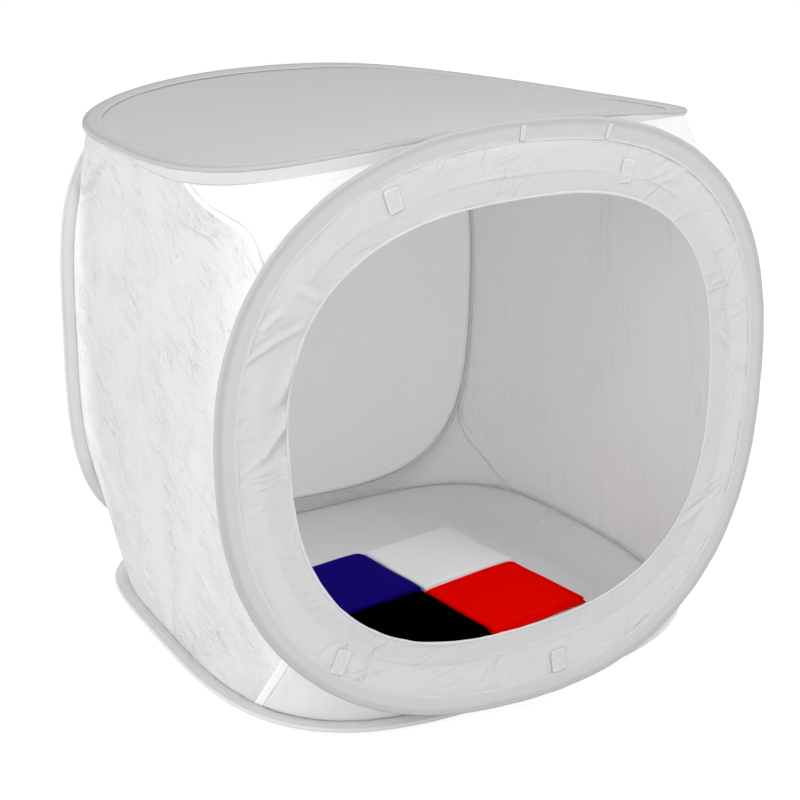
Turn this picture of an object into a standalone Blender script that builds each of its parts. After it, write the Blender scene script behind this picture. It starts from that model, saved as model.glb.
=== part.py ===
"""Pop-up light tent cube: four sprung wire hoops in cloth sleeves carry a white cloth box.

The front face is a wide border round an open doorway. Folded backdrop cloths lie on the floor panel.
Metres, +Z up. The doorway faces -Y. The tent stands on the ground plane, centred on the Z axis.
"""
import math

import bmesh
import bpy
import numpy as np
from mathutils import Vector

# Hoop wire, its crimped ferrule and the cloth sleeve folded round it
wire_diameter = 0.0032
ferrule_wall = 0.0006
ferrule_length = 0.026
wire_end_gap = 0.0008
sleeve_cloth = 0.0009
sleeve_band = 0.020
panel_cloth = 0.0010
slip_gap = 0.0003

# Outer outlines of the four sleeved hoops; squareness 2 is an ellipse, more is squarer
frame_depth = 0.590
front_width = 0.600
front_rise = 0.0215
front_squareness = 2.35
top_width = 0.580
top_squareness = 3.05
bottom_width = 0.608
bottom_squareness = 3.4
back_width = 0.600
back_height = 0.584
back_squareness = 3.3
outline_stations = 48

# The top panel hangs slack in its hoop, deepest to the left of its middle and a little forwards
top_panel_sag = 0.011
deepest_shares = (-0.30, -0.15)
sag_ring_shares = (0.0, 0.2, 0.45, 0.72, 1.0)

# How the hoops sit against each other at their shared edges; the front rim stands above the top hoop
ground_gap = 0.0005
stack_gap = 0.0004
bottom_setback = 0.0075
top_setback = 0.0050

# Doorway in the front border, with its facing, its edge binding and the cover tabs
border_side = 0.0695
border_rim = 0.0765
opening_squareness = 2.6
opening_rise = 0.0045
facing_width = 0.022
binding_width = 0.006
binding_cloth = 0.0007
tab_width = 0.012
tab_length = 0.028
tab_cloth = 0.0012
tab_inset = 0.042

# Cloth webs that close the corners between neighbouring hoops
web_inset = 0.017
web_standoff = 0.0004
seam_gap = 0.0007
hinge_tape_half = 0.100
web_reach = 0.244
seam_tape_width = 0.012
top_edge_drop = 0.0065
hinge_tape_cells = 8
gusset_cells = 6
side_cells = 14
relax_rounds = 400

# Loop strip that holds a hung backdrop, on the back panel's inner face
loop_strip_length = 0.340
loop_strip_width = 0.020
loop_strip_cloth = 0.0015
loop_strip_drop = 0.060

# Four folded backdrop cloths, laid in a two by two block on the floor panel
backdrop_length = 0.138
backdrop_width = 0.132
backdrop_layer = 0.0019
backdrop_layers = 4
backdrop_fold_gap = 0.0005
backdrop_spacing = 0.003
backdrop_centre_x = 0.038
backdrop_centre_y = -0.009
backdrop_turn = math.radians(6)

# Worked out from the sizes above
wire_radius = wire_diameter / 2
ferrule_bore = wire_radius + slip_gap
ferrule_radius = ferrule_bore + ferrule_wall
pocket_half = ferrule_radius + slip_gap
sleeve_radius = pocket_half + sleeve_cloth
slot_half = panel_cloth / 2 + slip_gap
flap_half = slot_half + sleeve_cloth
layer_pitch = 2 * sleeve_radius + stack_gap
panel_inset = sleeve_radius + pocket_half + slip_gap

front_y = -frame_depth / 2
back_y = frame_depth / 2
bottom_z = sleeve_radius
back_hinge_z = ground_gap + sleeve_radius
front_hinge_z = back_hinge_z + 2 * layer_pitch
link_height = back_height - 2 * sleeve_radius
top_hinge_z = back_hinge_z + link_height
top_z = top_hinge_z + layer_pitch
front_height = top_z + front_rise - front_hinge_z + sleeve_radius
front_centre_z = front_hinge_z - sleeve_radius + front_height / 2
opening_width = front_width - 2 * border_side
opening_height = front_height - 2 * border_rim
back_centre_z = ground_gap + back_height / 2
bottom_depth = frame_depth - 2 * bottom_setback
top_depth = frame_depth - top_setback + sleeve_radius
top_centre_y = (top_setback + sleeve_radius) / 2

ivory = (0.90, 0.90, 0.91)
cool_grey = (0.74, 0.74, 0.76)


def clear_scene():
    for old in list(bpy.data.objects):
        bpy.data.objects.remove(old, do_unlink=True)


def new_collection(name):
    made = bpy.data.collections.new(name)
    bpy.context.scene.collection.children.link(made)
    return made


def material(name, colour, roughness, metallic=0.0):
    made = bpy.data.materials.new(name)
    made.use_nodes = True
    shader = made.node_tree.nodes["Principled BSDF"]
    shader.inputs["Base Color"].default_value = (*colour, 1.0)
    shader.inputs["Roughness"].default_value = roughness
    shader.inputs["Metallic"].default_value = metallic
    made.diffuse_color = (*colour, 1.0)
    return made


def place(obj, collection, look):
    collection.objects.link(obj)
    obj.data.materials.append(look)
    return obj


def superellipse(width, height, squareness, samples=1440):
    """Closed outline from the middle of its lower edge, anticlockwise, as an array of (a, b)."""
    angle = np.arange(samples) * 2 * math.pi / samples - math.pi / 2
    c, s = np.cos(angle), np.sin(angle)
    power = 2 / squareness
    a = np.sign(c) * width / 2 * np.abs(c) ** power
    b = np.sign(s) * height / 2 * np.abs(s) ** power
    return np.stack([a, b], 1)


class Outline:
    """One hoop's outer outline, walked by distance from the middle of its lower edge."""

    def __init__(self, width, height, squareness):
        self.points = superellipse(width, height, squareness)
        closed = np.vstack([self.points, self.points[:1]])
        steps = np.linalg.norm(np.diff(closed, axis=0), axis=1)
        self.walk = np.concatenate([[0.0], np.cumsum(steps)])
        self.closed = closed
        self.length = self.walk[-1]

    def at(self, distance, inset=0.0):
        """Point at a distance along the outline, moved inwards by inset."""
        here = self.bare(distance)
        step = self.length / len(self.points)
        along = self.bare(distance + step) - self.bare(distance - step)
        along = along / np.linalg.norm(along)
        return here + inset * np.array([-along[1], along[0]])

    def bare(self, distance):
        d = distance % self.length
        return np.array([np.interp(d, self.walk, self.closed[:, k]) for k in (0, 1)])

    def stations(self, count, inset=0.0):
        """Evenly spaced points that leave a straight chord across the middle of each edge."""
        half_step = self.length / count / 2
        return [self.at(half_step + k * 2 * half_step, inset) for k in range(count)]


front_outline = Outline(front_width, front_height, front_squareness)
top_outline = Outline(top_width, top_depth, top_squareness)
bottom_outline = Outline(bottom_width, bottom_depth, bottom_squareness)
back_outline = Outline(back_width, back_height, back_squareness)
opening_outline = Outline(opening_width, opening_height, opening_squareness)

upright = (math.pi / 2, 0.0, 0.0)
flat = (0.0, 0.0, 0.0)
hoops = {
    "front": (front_outline, Vector((0.0, front_y, front_centre_z)), upright),
    "top": (top_outline, Vector((0.0, top_centre_y, top_z)), flat),
    "bottom": (bottom_outline, Vector((0.0, 0.0, bottom_z)), flat),
    "back": (back_outline, Vector((0.0, back_y, back_centre_z)), upright),
}


def in_space(hoop, a, b, off=0.0):
    """A point of a hoop's plane, moved off it towards the inside of the tent."""
    centre = hoops[hoop][1]
    inward = {"front": (0, 1, 0), "back": (0, -1, 0), "top": (0, 0, -1), "bottom": (0, 0, 1)}[hoop]
    spread = Vector((a, 0.0, b)) if hoop in ("front", "back") else Vector((a, b, 0.0))
    return centre + spread + off * Vector(inward)


def curve_object(name, dimensions):
    data = bpy.data.curves.new(name, "CURVE")
    data.dimensions = dimensions
    return bpy.data.objects.new(name, data)


def add_spline(obj, points, cyclic=True):
    spline = obj.data.splines.new("POLY")
    spline.points.add(len(points) - 1)
    for point, place_at in zip(spline.points, points):
        x, y = place_at[0], place_at[1]
        z = place_at[2] if len(place_at) > 2 else 0.0
        point.co = (x, y, z, 1.0)
    spline.use_cyclic_u = cyclic


def sheet(name, outlines, thickness, collection, look, location, rotation):
    """A flat piece of cloth: an outline with any holes, thickened evenly about its middle."""
    obj = curve_object(name, "2D")
    for outline in outlines:
        add_spline(obj, outline)
    obj.data.fill_mode = "BOTH"
    obj.data.extrude = thickness / 2
    obj.location = location
    obj.rotation_euler = rotation
    return place(obj, collection, look)


def polygon_corners(sides, flat_at, turns):
    """Corners of an even-sided polygon, given by its distance to the flats and its corners' angles."""
    reach = flat_at / math.cos(math.pi / sides)
    return [(reach * math.cos(math.radians(t)), reach * math.sin(math.radians(t))) for t in turns]


def sleeve_section():
    """The sleeve's section: a pocket round the wire and two flaps, with the slot between them.

    Outside, the pocket is eight-sided, with flats where it meets the ground and at the hoop's rim.
    """
    tip = sleeve_band - sleeve_radius
    shoulder = (math.sqrt(2) * sleeve_radius - flap_half, flap_half)
    outside = [(tip, slot_half), (tip, flap_half), shoulder]
    outside += polygon_corners(8, sleeve_radius, (67.5, 112.5, 157.5))
    mouth = (pocket_half / math.cos(math.radians(30)) - slot_half / math.tan(math.radians(60)), slot_half)
    inside = [mouth] + polygon_corners(6, pocket_half, (60, 120))
    far = polygon_corners(6, pocket_half, (180,))
    lower_outside = [(x, -y) for x, y in reversed(outside)]
    lower_inside = [(x, -y) for x, y in inside]
    return outside + lower_outside + lower_inside + far + list(reversed(inside))


def binding_section():
    """A narrow tape folded over the doorway's edge: a U round the border and its facing."""
    reach = panel_cloth / 2 + slip_gap
    back_reach = reach + panel_cloth + slip_gap
    fold = slip_gap + binding_cloth
    return [
        (-binding_width, reach + binding_cloth), (-binding_width, reach),
        (slip_gap, reach), (slip_gap, -back_reach),
        (-binding_width, -back_reach), (-binding_width, -back_reach - binding_cloth),
        (fold, -back_reach - binding_cloth), (fold, reach + binding_cloth),
    ]


def rectangle(width, height):
    return [(u * width / 2, v * height / 2) for u, v in ((-1, -1), (1, -1), (1, 1), (-1, 1))]


def swept_ring(name, path, section, collection, guides, look, location, rotation):
    """A closed ring of even section, swept along a flat closed path; its x points inwards."""
    profile = curve_object(name + "_section", "2D")
    add_spline(profile, [(-x, y) for x, y in section])
    profile.hide_render = True
    profile.display_type = "WIRE"
    guides.objects.link(profile)
    obj = curve_object(name, "3D")
    add_spline(obj, path)
    obj.data.twist_mode = "Z_UP"
    obj.data.bevel_mode = "OBJECT"
    obj.data.bevel_object = profile
    obj.location = location
    obj.rotation_euler = rotation
    return place(obj, collection, look)


def wire_hoop(name, outline, collection, look, location, rotation):
    """The sprung wire, whose two ends meet in the ferrule at the middle of the lower edge."""
    ring = outline.stations(outline_stations, sleeve_radius)
    level = ring[0][1]
    path = [(wire_end_gap / 2, level)] + [tuple(p) for p in ring] + [(-wire_end_gap / 2, level)]
    obj = curve_object(name, "3D")
    add_spline(obj, path, cyclic=False)
    obj.data.twist_mode = "Z_UP"
    obj.data.bevel_depth = wire_radius
    obj.data.bevel_resolution = 1
    obj.data.use_fill_caps = True
    obj.location = location
    obj.rotation_euler = rotation
    return place(obj, collection, look)


def ferrule(name, outline, collection, look, location, rotation):
    """The crimped tube that joins the wire's ends: a turned wall laid along the lower edge."""
    level = outline.stations(outline_stations, sleeve_radius)[0][1]
    data = bpy.data.meshes.new(name)
    obj = bpy.data.objects.new(name, data)
    half = ferrule_length / 2
    profile = [(ferrule_radius, half), (ferrule_radius, -half), (ferrule_bore, -half), (ferrule_bore, half)]
    bm = bmesh.new()
    corners = [bm.verts.new((x, 0.0, z)) for x, z in profile]
    for k, corner in enumerate(corners):
        bm.edges.new((corner, corners[(k + 1) % len(corners)]))
    bm.to_mesh(data)
    bm.free()
    screw = obj.modifiers.new("Turn", "SCREW")
    screw.angle = 2 * math.pi
    screw.steps = 12
    screw.render_steps = 12
    screw.use_merge_vertices = True
    screw.merge_threshold = wire_end_gap / 100
    across = Vector((0.0, 0.0, level)) if rotation == upright else Vector((0.0, level, 0.0))
    obj.location = location + across
    obj.rotation_euler = (0.0, math.pi / 2, 0.0)
    return place(obj, collection, look)


def patch(name, columns, rows, where, thickness, collection, look):
    """A thin curved cloth: a flat grid whose points are moved to where(i, j), merged and thickened."""
    data = bpy.data.meshes.new(name)
    obj = bpy.data.objects.new(name, data)
    bm = bmesh.new()
    bmesh.ops.create_grid(bm, x_segments=columns, y_segments=rows, size=1.0)
    for v in bm.verts:
        i = round((v.co.x + 1) / 2 * columns)
        j = round((v.co.y + 1) / 2 * rows)
        v.co = where(i, j)
    bmesh.ops.remove_doubles(bm, verts=bm.verts, dist=thickness / 100)
    bm.to_mesh(data)
    bm.free()
    thicken = obj.modifiers.new("Cloth", "SOLIDIFY")
    thicken.thickness = thickness
    thicken.offset = 0.0
    data.shade_smooth()
    return place(obj, collection, look)


# Each cover tab's place round the front hoop, as a share of its outline from the lower edge's middle
cover_tab_shares = {"lower_right": 0.025, "upper_right": 0.44, "upper_left": 0.58, "lower_left": 0.885}

# Each shared edge: the two hoops, and whether it is at each one's lower (0) or upper (1) edge
edges = {
    "front_bottom": ("front", 0, "bottom", 0),
    "front_top": ("front", 1, "top", 0),
    "back_top": ("back", 1, "top", 1),
    "back_bottom": ("back", 0, "bottom", 1),
}


def edge_point(hoop, end, side, distance):
    """Where a web meets a hoop: distance along it from the shared edge's middle, on one side."""
    outline = hoops[hoop][0]
    sign = side if end == 0 else -side
    a, b = outline.at(end * outline.length / 2 + sign * distance, web_inset)
    off = flap_half + slip_gap + web_standoff
    point = in_space(hoop, a, b, off)
    highest = top_z - sleeve_radius - top_edge_drop
    if hoop == "front" and point.z > highest:
        point.z = highest
    return point


def web_point(edge, side, distance, across):
    """A point of the ruled cloth between two neighbouring hoops."""
    first, first_end, second, second_end = edges[edge]
    p = edge_point(first, first_end, side, distance)
    q = edge_point(second, second_end, side, distance)
    return p.lerp(q, across)


def web(name, edge, side, start, stop, cells, collection, look):
    def where(i, j):
        distance = start + (stop - start) * i / cells
        return web_point(edge, side, distance, j / 2)

    return patch(name, cells, 2, where, panel_cloth, collection, look)


def side_panel(name, side, collection, look):
    """The cloth stretched between all four hoops: its edge is fixed and its middle pulls taut."""
    n = side_cells
    start = web_reach + seam_tape_width + slip_gap + seam_gap
    grid = np.zeros((n + 1, n + 1, 3))

    def arc(hoop, first_end, k):
        """Point k of n along a hoop from the web at its lower edge to the web at its upper edge."""
        outline = hoops[hoop][0]
        reach = outline.length / 2 - start
        distance = start + (reach - start) * (k - 1) / (n - 2)
        if first_end == 1:
            distance = outline.length / 2 - distance
        return edge_point(hoop, first_end, side, distance)

    for k in range(1, n):
        grid[k, 0] = arc("bottom", 0, k)
        grid[k, n] = edge_point("top", 0, side, start + (top_outline.length / 2 - 2 * start) * (k - 1) / (n - 2))
        grid[0, k] = arc("front", 0, k)
        grid[n, k] = arc("back", 0, k)
    grid[0, 0] = web_point("front_bottom", side, start, 1 / 2)
    grid[0, n] = web_point("front_top", side, start, 1 / 2)
    grid[n, n] = web_point("back_top", side, start, 1 / 2)
    grid[n, 0] = web_point("back_bottom", side, start, 1 / 2)
    grid[1:n, 1:n] = (grid[:1, 1:n] + grid[n:, 1:n] + grid[1:n, :1] + grid[1:n, n:]) / 4
    for _ in range(relax_rounds):
        grid[1:n, 1:n] = (grid[:n - 1, 1:n] + grid[2:, 1:n] + grid[1:n, :n - 1] + grid[1:n, 2:]) / 4
    return patch(name, n, n, lambda i, j: Vector(grid[i, j]), panel_cloth, collection, look)


def slack_panel(name, outline, location, sag, collection, look):
    """A level panel whose edge lies flat in its sleeve's slot and whose middle hangs slack.

    Its rings run from the slot's bottom to the flaps' edge, and from there to the deepest place.
    """
    edge = outline.stations(outline_stations, panel_inset)
    lip = outline.stations(outline_stations, sleeve_band + slip_gap)
    deepest = np.array(deepest_shares) * np.ptp(outline.points, axis=0) / 2

    def where(i, j):
        k = i % outline_stations
        if j == 0:
            return location + Vector((*edge[k], 0.0))
        share = sag_ring_shares[j - 1]
        drop = sag * (1 - (1 - share) ** 2)
        return location + Vector((*(lip[k] + (deepest - lip[k]) * share), -drop))

    return patch(name, outline_stations, len(sag_ring_shares), where, panel_cloth, collection, look)


def backdrop(name, place_x, place_y, collection, look):
    """A backdrop cloth folded back and forth into a flat square pile."""
    pitch = backdrop_layer + backdrop_fold_gap
    half = backdrop_length / 2
    slot = half - backdrop_layer
    going, returning = [], []
    for k in range(backdrop_layers - 1):
        turn = 1 if k % 2 == 0 else -1
        top_of_layer = k * pitch + backdrop_layer
        gap_ends = [(turn * slot, top_of_layer), (turn * slot, top_of_layer + backdrop_fold_gap)]
        open_end = [(-turn * half, top_of_layer), (-turn * half, top_of_layer + backdrop_fold_gap)]
        cut = [open_end[0]] + gap_ends + [open_end[1]]
        (returning if turn == 1 else going).append(cut)
    height = backdrop_layers * pitch - backdrop_fold_gap
    outline = [(-half, 0.0), (half, 0.0)]
    for cut in going:
        outline += cut
    outline += [(half, height), (-half, height)]
    for cut in reversed(returning):
        outline += list(reversed(cut))
    obj = curve_object(name, "2D")
    add_spline(obj, outline)
    obj.data.fill_mode = "BOTH"
    obj.data.extrude = backdrop_width / 2
    c, s = math.cos(backdrop_turn), math.sin(backdrop_turn)
    x = backdrop_centre_x + c * place_x - s * place_y
    y = backdrop_centre_y + s * place_x + c * place_y
    obj.location = (x, y, bottom_z + panel_cloth / 2 + slip_gap)
    obj.rotation_euler = (math.pi / 2, 0.0, backdrop_turn)
    return place(obj, collection, look)


def build():
    clear_scene()
    tent = new_collection("light_tent_cube")
    guides = new_collection("guides")
    white_cloth = material("white_cloth", ivory, 0.75)
    sleeve_look = material("sleeve_cloth", (0.86, 0.86, 0.87), 0.8)
    tape_look = material("white_tape", (0.93, 0.93, 0.93), 0.7)
    steel = material("spring_steel", (0.55, 0.55, 0.57), 0.35, 1.0)
    grip_tape = material("grip_tape", cool_grey, 0.9)

    for hoop, (outline, location, rotation) in hoops.items():
        ring = outline.stations(outline_stations, sleeve_radius)
        wire_hoop(f"{hoop}_hoop_wire", outline, tent, steel, location, rotation)
        ferrule(f"{hoop}_hoop_ferrule", outline, tent, steel, location, rotation)
        swept_ring(f"{hoop}_hoop_sleeve", ring, sleeve_section(), tent, guides, sleeve_look, location, rotation)
    slack_panel("top_panel", *hoops["top"][:2], top_panel_sag, tent, white_cloth)
    for hoop in ("bottom", "back"):
        outline, location, rotation = hoops[hoop]
        disc = outline.stations(outline_stations, panel_inset)
        sheet(f"{hoop}_panel", [disc], panel_cloth, tent, white_cloth, location, rotation)

    front_location = hoops["front"][1]
    lift = np.array([0.0, opening_rise])
    border_outer = front_outline.stations(outline_stations, panel_inset)
    door = [p + lift for p in opening_outline.stations(outline_stations)]
    facing_edge = [p + lift for p in opening_outline.stations(outline_stations, -facing_width)]
    sheet("front_border", [border_outer, door], panel_cloth, tent, white_cloth, front_location, upright)
    behind = front_location + Vector((0.0, panel_cloth + slip_gap, 0.0))
    sheet("doorway_facing", [facing_edge, door], panel_cloth, tent, tape_look, behind, upright)
    swept_ring("doorway_binding", door, binding_section(), tent, guides, tape_look, front_location, upright)

    tab_y = front_y - panel_cloth / 2 - slip_gap - tab_cloth / 2
    for corner, share in cover_tab_shares.items():
        middle = front_outline.length * share
        outer, inner = tab_inset - tab_length / 2, tab_inset + tab_length / 2
        ends = ((-1, outer), (1, outer), (1, inner), (-1, inner))
        across = [front_outline.at(middle + u * tab_width / 2, inset) for u, inset in ends]
        spot = Vector((0.0, tab_y, front_centre_z))
        sheet(f"cover_tab_{corner}", [across], tab_cloth, tent, grip_tape, spot, upright)

    for edge in edges:
        web(f"{edge}_hinge_tape", edge, 1, -hinge_tape_half, hinge_tape_half, hinge_tape_cells, tent, tape_look)
        for side, word in ((-1, "left"), (1, "right")):
            start = hinge_tape_half + slip_gap
            web(f"{edge}_{word}_gusset", edge, side, start, web_reach, gusset_cells, tent, white_cloth)
            start = web_reach + slip_gap
            stop = start + seam_tape_width
            web(f"{edge}_{word}_seam_tape", edge, side, start, stop, 1, tent, tape_look)
    side_panel("left_side_panel", -1, tent, white_cloth)
    side_panel("right_side_panel", 1, tent, white_cloth)

    strip = rectangle(loop_strip_length, loop_strip_width)
    strip_y = back_y - panel_cloth / 2 - slip_gap - loop_strip_cloth / 2
    strip_z = back_centre_z + back_height / 2 - loop_strip_drop
    spot = Vector((0.0, strip_y, strip_z))
    sheet("backdrop_loop_strip", [strip], loop_strip_cloth, tent, grip_tape, spot, upright)

    across = (backdrop_length + backdrop_spacing) / 2
    along = (backdrop_width + backdrop_spacing) / 2
    colours = {
        "blue_backdrop": (-1, 1, (0.012, 0.0, 0.155)),
        "white_backdrop": (1, 1, (0.63, 0.63, 0.63)),
        "black_backdrop": (-1, -1, (0.004, 0.004, 0.004)),
        "red_backdrop": (1, -1, (0.60, 0.004, 0.003)),
    }
    for name, (side, depth, colour) in colours.items():
        backdrop(name, side * across, depth * along, tent, material(name, colour, 0.9))


build()
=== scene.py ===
"""Looks of the pop-up light tent cube: bowed hoops, crinkled nylon, sewn bands and folded cloths."""
import math

import bpy
import numpy as np
from mathutils import Matrix, Vector


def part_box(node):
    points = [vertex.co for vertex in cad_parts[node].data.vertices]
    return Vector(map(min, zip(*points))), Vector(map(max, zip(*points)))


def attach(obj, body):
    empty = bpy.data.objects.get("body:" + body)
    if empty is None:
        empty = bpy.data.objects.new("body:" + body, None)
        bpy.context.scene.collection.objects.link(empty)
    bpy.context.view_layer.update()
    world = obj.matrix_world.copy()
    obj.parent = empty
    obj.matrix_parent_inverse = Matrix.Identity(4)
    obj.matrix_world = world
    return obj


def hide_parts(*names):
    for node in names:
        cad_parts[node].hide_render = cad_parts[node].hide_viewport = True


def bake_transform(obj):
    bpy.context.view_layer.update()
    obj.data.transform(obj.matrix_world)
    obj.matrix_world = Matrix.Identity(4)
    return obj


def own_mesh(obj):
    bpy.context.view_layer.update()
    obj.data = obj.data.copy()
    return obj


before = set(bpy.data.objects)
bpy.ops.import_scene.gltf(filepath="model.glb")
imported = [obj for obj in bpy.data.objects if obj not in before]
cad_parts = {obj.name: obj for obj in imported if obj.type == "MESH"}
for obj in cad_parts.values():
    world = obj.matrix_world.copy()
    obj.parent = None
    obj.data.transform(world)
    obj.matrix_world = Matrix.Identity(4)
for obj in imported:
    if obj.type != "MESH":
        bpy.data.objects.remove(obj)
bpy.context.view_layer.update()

mm = 0.001

# Sewn widths and cloth thicknesses
band_width = 20 * mm
bead_inset = 4 * mm
seam_inset = 17 * mm
panel_inset = 18 * mm
seam_lift = 1.0 * mm
wire_radius = 1.6 * mm
bead_radius = 2.3 * mm
nylon = 0.4 * mm
flap_half = 0.45 * mm
welt_width = 2.4 * mm
welt_height = 0.55 * mm
hem_radius = 1.15 * mm
cord_radius = 0.8 * mm
piping_radius = 1.4 * mm
piping_rise = 1.6 * mm
facing_width = 23 * mm
tape_width = 12 * mm
tape_lift = 0.20 * mm
tab_lift = 0.95 * mm
hinge_half = 100 * mm
closing_half = 2.6 * mm
closing_lift = 0.7 * mm
swell_power = 0.7
rumple = 0.45 * mm
top_rumple = 0.8 * mm

# Stitches, and where each one's four rings lie: share of the pitch, and share of the radius
stitch_inset = 18 * mm
stitch_pitch = 3.4 * mm
tab_stitch_pitch = 2.6 * mm
stitch_radius = 0.24 * mm
stitch_lift = 0.45 * mm
stitch_shares = ((0.12, 0.3), (0.30, 1.0), (0.64, 1.0), (0.82, 0.3))

# The top sleeve's outer side: how far it hangs, its share beyond the middle, and where the deep part ends
skirt_drop = 12 * mm
skirt_inset = 4 * mm
skirt_share = 0.22
skirt_right = 240 * mm
skirt_left = 540 * mm
skirt_fade = 200 * mm

# How finely the pieces are made
outline_points = 1441
hoop_points = 420
wire_points = 180
panel_points = 300
panel_rings = 60
ring_power = 0.85
side_points = 250

# How far each corner seam lies from the middle of its shared edge, at five even steps from hoop to hoop
seam_places = {
    "front_bottom": (275 * mm, 281 * mm, 290 * mm, 300 * mm, 310 * mm),
    "front_top": (269 * mm, 295 * mm, 293 * mm, 317 * mm, 343 * mm),
    "back_top": (330 * mm, 322 * mm, 331 * mm, 347 * mm, 360 * mm),
    "back_bottom": (330 * mm, 320 * mm, 326 * mm, 340 * mm, 350 * mm),
}

# Folds that stand out, in millimetres: start, end, width and height, in the hoop's plane
border_folds = [
    ((-270, 102), (-236, 122), 2.6, 2.8),
    ((-236, 122), (-216, 130), 3.2, 2.0),
    ((-254, 131), (-236, 144), 3.4, 2.0),
    ((-222, 164), (-203, 153), 4.2, 2.0),
    ((-222, 100), (-243, 58), 4.6, 3.4),
    ((-230, 46), (-258, 8), 4.2, 3.8),
    ((-234, 6), (-233, -18), 4.0, 2.6),
    ((-232, -30), (-222, -78), 3.2, 1.6),
    ((-281, 26), (-262, 29), 1.8, -0.9),
    ((-280, 14), (-268, 15), 1.6, -0.7),
    ((-279, -8), (-260, 10), 2.4, 0.9),
    ((-272, -44), (-256, -38), 2.0, 0.7),
    ((238, 62), (252, 40), 2.6, 1.2),
    ((241, 38), (266, -4), 2.8, 1.0),
    ((226, -112), (252, -100), 2.6, 1.2),
    ((208, -132), (250, -114), 2.4, -1.0),
    ((196, -148), (232, -128), 3.0, 1.1),
    ((150, 226), (174, 238), 3.0, 0.6),
]

# Folds of the left side panel, in millimetres: start, end, width and height, by depth and height
side_folds = [
    ((74, 563), (245, 484), 5.5, 5.2),
    ((66, 552), (190, 496), 3.6, -3.4),
    ((112, 568), (200, 516), 3.6, -3.0),
    ((150, 502), (255, 470), 4.0, 3.6),
    ((-96, 560), (-136, 540), 4.0, -2.0),
    ((-124, 556), (-164, 532), 4.5, 2.4),
    ((-119, 521), (-182, 514), 3.6, 3.6),
    ((-163, 534), (-206, 536), 4.0, 2.6),
    ((-74, 552), (-98, 534), 3.6, 1.8),
    ((100, 385), (68, 356), 3.6, 1.8),
    ((-20, 352), (-196, 290), 13.0, 4.2),
    ((-60, 300), (-214, 232), 10.0, 3.0),
    ((-120, 455), (-170, 410), 4.0, 2.2),
    ((60, 560), (-40, 500), 7.0, 2.4),
]

# Folds of the floor cloth by its right rear corner, in millimetres
floor_folds = [
    ((254, 154), (296, 158), 3.6, 2.2),
    ((285, 115), (306, 113), 3.4, 2.0),
    ((249, 54), (298, 72), 3.8, 3.2),
    ((245, 33), (276, 48), 3.2, 2.0),
    ((239, -1), (287, 11), 3.8, 2.6),
    ((282, -22), (300, -12), 3.4, 2.0),
    ((266, 172), (290, 171), 3.0, 1.8),
    ((226, 196), (262, 214), 3.2, 1.4),
    ((262, 88), (298, 96), 3.0, 1.6),
]

# Crinkles of the side panels: area, count, angle, spread, length, width, height and seed
side_crinkles = [
    ((-0.24, 0.24, 0.06, 0.54), 420, 0.46, 0.22, 44 * mm, 3.2 * mm, 0.8 * mm, 71),
    ((-0.25, 0.26, 0.05, 0.55), 60, 0.50, 0.30, 120 * mm, 9.0 * mm, 1.8 * mm, 72),
]
far_crinkle_share = 0.35
rim_points = 18

# Backdrop cloths: back and forth across, then over and over towards the doorway
pile_width = 138 * mm
pile_depth = 132 * mm
pile_height = 9.1 * mm
pile_turn = math.radians(8)
pile_floor = 4.6 * mm
slipped = 2.2 * mm
layers_across = 8
layers_over = 4
layer_thickness = 0.16 * mm
groove_depth = 3.5 * mm

# Where the floor cloth lies between the rim and the middle
floor_level = 3.9 * mm
floor_lowest = 1.2 * mm
floor_rise = 75 * mm

# The panels' pinhole, the gap kept under the top's web, and the point that outward normals turn away from
pinhole_share = 0.0005
top_gap = 6 * mm
tent_middle = np.array([0, 0, 0.3])

# Looks: weave pitches, the light that comes through, mottle, crumple, and the painted shade along the strip
# over the wire
nylon_weave = 0.5 * mm
tape_weave = 0.6 * mm
binding_weave = 0.7 * mm
see_through = 0.50
mottle_share = 0.03
mottle_scale = 28
crumple_scale = 130
crumple_depth = 0.6 * mm
patch_shares = (0.38, 0.66)
bead_shade_middle = 23 * mm
bead_shade_half = 9 * mm

# A wave texture of scale 1 repeats after this length
wave_length = 2 * math.pi / 20


def noise(u, v, seed):
    """Smooth noise from -1 to 1 on a unit lattice, the same each run."""
    iu, iv = np.floor(u).astype(int), np.floor(v).astype(int)
    fu, fv = u - iu, v - iv
    fu, fv = fu * fu * (3 - 2 * fu), fv * fv * (3 - 2 * fv)

    def corner(i, j):
        h = (i * 374761393 + j * 668265263 + seed * 1442695041) & 0x7FFFFFFF
        h = ((h ^ (h >> 13)) * 1274126177) & 0x7FFFFFFF
        return ((h ^ (h >> 16)) & 0xFFFF) / 32767.5 - 1

    low = corner(iu, iv) * (1 - fu) + corner(iu + 1, iv) * fu
    high = corner(iu, iv + 1) * (1 - fu) + corner(iu + 1, iv + 1) * fu
    return low * (1 - fv) + high * fv


def smooth(x):
    x = np.clip(x, 0, 1)
    return x * x * (3 - 2 * x)


def ridge(u, v, start, end, width, height):
    """A soft fold along a line, fading out at both ends, with a shallow trough on one side."""
    s, e = np.array(start, float), np.array(end, float)
    along = e - s
    length = np.linalg.norm(along)
    along = along / length
    p = ((u - s[0]) * along[0] + (v - s[1]) * along[1]) / length
    q = (-(u - s[0]) * along[1] + (v - s[1]) * along[0]) / width
    fade = smooth(p * 3 + 0.5) * smooth((1 - p) * 3 + 0.5)
    return height * fade * (np.exp(-q * q) - 0.45 * np.exp(-((q - 1.5) ** 2) / 1.6))


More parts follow.
